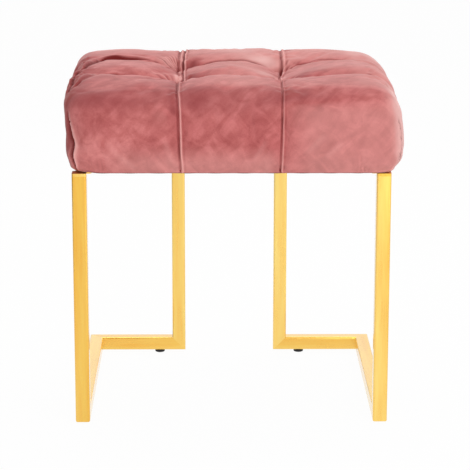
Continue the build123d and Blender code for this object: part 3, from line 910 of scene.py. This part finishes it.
def staple_tree():
    """Rows of round-cornered wire staples along four sides of a rectangle, driven upwards."""
    tree, value, gives = new_group(
        "staple_rows", "GeometryNodeTree",
        {"Half Width": 0.2, "Half Depth": 0.17, "Height": 0.3, "Pitch": 0.05, "Along Width": 7,
         "Along Depth": 5, "Crown": 0.01, "Leg": 0.006, "Wire": 0.0003, "Finish": "Material"},
        {"Geometry": "Geometry"})

    # Bent wire: four points, the two middle ones on the crown
    number = shaped(tree, "InputIndex")
    to_right = reckon(tree, "GREATER_THAN", number, 1.5)
    x = reckon(tree, "MULTIPLY", value["Crown"], reckon(tree, "SUBTRACT", to_right, 0.5))
    from_middle = reckon(tree, "ABSOLUTE", reckon(tree, "SUBTRACT", number, 1.5))
    z = reckon(tree, "MULTIPLY", value["Leg"], reckon(tree, "GREATER_THAN", from_middle, 1.0))
    wire = shaped(tree, "MeshLine", {"Count": 4})
    wire = shaped(tree, "SetPosition", {"Geometry": wire, "Position": vector(tree, X=x, Z=z)})
    wire = shaped(tree, "MeshToCurve", {"Mesh": wire})
    wire = shaped(tree, "FilletCurve", {"Curve": wire, "Radius": 0.0007, "Count": 4}, mode="POLY")
    section = shaped(tree, "CurvePrimitiveCircle", {"Resolution": 8, "Radius": value["Wire"]})
    staple = shaped(tree, "CurveToMesh", {"Curve": wire, "Profile Curve": section, "Fill Caps": True})

    def row(count, across_name, along_x, side):
        half_pitch = reckon(tree, "MULTIPLY", value["Pitch"], -0.5)
        start = reckon(tree, "MULTIPLY", reckon(tree, "SUBTRACT", value[count], 1.0), half_pitch)
        off = reckon(tree, "MULTIPLY", value[across_name], side)
        at_x, at_y = (start, off) if along_x else (off, start)
        line = shaped(tree, "MeshLine", {
            "Count": value[count], "Start Location": vector(tree, X=at_x, Y=at_y, Z=value["Height"]),
            "Offset": vector(tree, **{"X" if along_x else "Y": value["Pitch"]})})
        return shaped(tree, "InstanceOnPoints", {
            "Points": line, "Instance": staple, "Rotation": (0.0, 0.0, 0.0 if along_x else math.pi / 2)})

    rows = []
    for side in (-1.0, 1.0):
        rows.append(row("Along Width", "Half Depth", True, side))
        rows.append(row("Along Depth", "Half Width", False, side))
    made = shaped(tree, "RealizeInstances", {"Geometry": joined(tree, rows)})
    made = shaped(tree, "SetShadeSmooth", {"Geometry": made})
    made = shaped(tree, "SetMaterial", {"Geometry": made, "Material": value["Finish"]})
    tree.links.new(made, gives["Geometry"])
    return tree


def stud_tree():
    """Threaded stud: a plain core with one spiral ridge wound round it, standing on a given point."""
    tree, value, gives = new_group(
        "threaded_stud", "GeometryNodeTree",
        {"Foot": "Vector", "Length": 0.017, "Radius": 0.003, "Thread": 0.00052, "Turns": 16.0,
         "Finish": "Material"}, {"Geometry": "Geometry"})
    root = reckon(tree, "SUBTRACT", value["Radius"], value["Thread"])
    core = shaped(tree, "MeshCylinder", {"Vertices": 32, "Radius": root, "Depth": value["Length"]})
    lifted = vector(tree, Z=reckon(tree, "MULTIPLY", value["Length"], 0.5))
    core = shaped(tree, "Transform", {"Geometry": core, "Translation": lifted})
    rise = reckon(tree, "SUBTRACT", value["Length"], reckon(tree, "MULTIPLY", value["Thread"], 2.0))
    spiral = shaped(tree, "CurveSpiral", {
        "Resolution": 36, "Rotations": value["Turns"], "Start Radius": root, "End Radius": root,
        "Height": rise})
    ridge = shaped(tree, "CurvePrimitiveCircle", {"Resolution": 6, "Radius": value["Thread"]})
    thread = shaped(tree, "CurveToMesh", {"Curve": spiral, "Profile Curve": ridge, "Fill Caps": True})
    wound = vector(tree, Z=value["Thread"])
    thread = shaped(tree, "Transform", {"Geometry": thread, "Translation": wound})
    made = joined(tree, (core, thread))
    made = shaped(tree, "Transform", {"Geometry": made, "Translation": value["Foot"]})
    made = shaped(tree, "RealizeInstances", {"Geometry": made})
    made = shaped(tree, "SetMaterial", {"Geometry": made, "Material": value["Finish"]})
    tree.links.new(made, gives["Geometry"])
    return tree


dust_staples = settle("dust_cloth_staples", staple_tree(), {
    "Half Width": 0.2105, "Half Depth": 0.178, "Height": 0.35895, "Pitch": 0.052,
    "Along Width": 7, "Along Depth": 5, "Crown": 0.0094, "Leg": 0.0062, "Wire": 0.0003, "Finish": ZINC})
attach(dust_staples, "stool")
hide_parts("dust_cover_staples")

STUD_TREE = stud_tree()
for corner in ("front_left", "front_right", "rear_left", "rear_right"):
    low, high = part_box("foot_stud_" + corner)
    middle = [(low[i] + high[i]) / 2 for i in range(2)]
    stud = settle("threaded_stud_" + corner, STUD_TREE, {
        "Foot": (middle[0], middle[1], low[2]), "Length": high[2] - low[2], "Radius": (high[0] - low[0]) / 2,
        "Thread": 0.00052, "Turns": 16.0, "Finish": ZINC})
    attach(stud, "foot_stud_" + corner)
    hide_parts("foot_stud_" + corner)


# Finishes of the CAD pieces, by how their names start

NODE_FINISHES = {
    "front_leg": GOLD_UPRIGHT, "rear_leg": GOLD_UPRIGHT, "side_runner": GOLD_RUNNER, "top_bar": GOLD_RUNNER,
    "rear_rail": GOLD_RAIL, "foot_pad": BLACK_PAD, "tuft_twine": TWINE, "seat_board": PLYWOOD,
    "dust_cover_staples": ZINC, "dust_cover": DUST_CLOTH}
for name in nodes:
    finishes = [finish for start, finish in NODE_FINISHES.items() if name.startswith(start)]
    mesh = nodes[name].data
    mesh.materials.clear()
    mesh.materials.append(finishes[0] if finishes else ZINC)


# Stage and light

def white_to_the_eye(tree, strength):
    """Share of plain white in what the camera, mirrors and glass see."""
    path = put(tree, "ShaderNodeLightPath").outputs
    seen = reckon(tree, "MAXIMUM", path["Is Camera Ray"], path["Is Glossy Ray"])
    seen = reckon(tree, "MAXIMUM", seen, path["Is Transmission Ray"])
    return reckon(tree, "MULTIPLY", seen, strength)


def flat_board(name, corners, material):
    """Flat piece of the stage with four corners."""
    mesh = bpy.data.meshes.new(name)
    mesh.from_pydata(corners, [], [(0, 1, 2, 3)])
    mesh.materials.append(material)
    return placed(name, mesh)


def studio():
    """White floor that keeps a faint shadow, white surroundings and four soft lamps."""
    world = bpy.data.worlds.new("studio")
    scene.world = world
    world.use_nodes = True
    tree = world.node_tree
    tree.nodes.clear()
    dim = put(tree, "ShaderNodeBackground", {"Color": (1, 1, 1, 1), "Strength": 0.55})
    plain = put(tree, "ShaderNodeBackground", {"Color": (1, 1, 1, 1), "Strength": 1.0})
    both = put(tree, "ShaderNodeMixShader", {
        0: white_to_the_eye(tree, 1.0), 1: dim.outputs[0], 2: plain.outputs[0]})
    put(tree, "ShaderNodeOutputWorld", {"Surface": both.outputs[0]})

    white, tree = new_material("white_floor")
    lit = dress(tree, {"Base Color": (0.85, 0.85, 0.85, 1), "Roughness": 0.9})
    plain = put(tree, "ShaderNodeEmission", {"Color": (1, 1, 1, 1), "Strength": 1.0})
    both = put(tree, "ShaderNodeMixShader", {0: white_to_the_eye(tree, 0.97), 1: lit, 2: plain.outputs[0]})
    fill(tree, tree.nodes["Material Output"], {"Surface": both.outputs[0]})
    floor = flat_board("floor", [(-6, -6, 0), (6, -6, 0), (6, 6, 0), (-6, 6, 0)], white)

    # Dark board to the left, seen only in reflections, for the darker left faces of the tubes
    dark, tree = new_material("dark_board")
    dress(tree, {"Base Color": (0.03, 0.025, 0.02, 1), "Roughness": 0.9})
    board = flat_board(
        "dark_board", [(-1.6, -2.4, 0.0), (-1.6, 3.0, 0.0), (-1.6, 3.0, 1.6), (-1.6, -2.4, 1.6)], dark)
    board.visible_camera = board.visible_diffuse = board.visible_shadow = board.visible_transmission = False

    for name, place, size, watts in (
        ("key_lamp", (1.3, -2.3, 1.5), 1.6, 27.0),
        ("fill_lamp", (-1.7, -1.9, 0.9), 1.6, 8.0),
        ("top_lamp", (0.2, 0.9, 2.4), 1.8, 22.0),
        ("low_lamp", (0.75, -1.7, 0.35), 0.6, 3.0),
    ):
        lamp = bpy.data.lights.new(name, "AREA")
        lamp.shape = "DISK"
        lamp.size = size
        lamp.energy = watts
        made = placed(name, lamp)
        made.location = place
        aim = Vector((0, 0, 0.35)) - Vector(place)
        made.rotation_euler = aim.to_track_quat("-Z", "Y").to_euler()
    scene.view_settings.view_transform = "Standard"


studio()
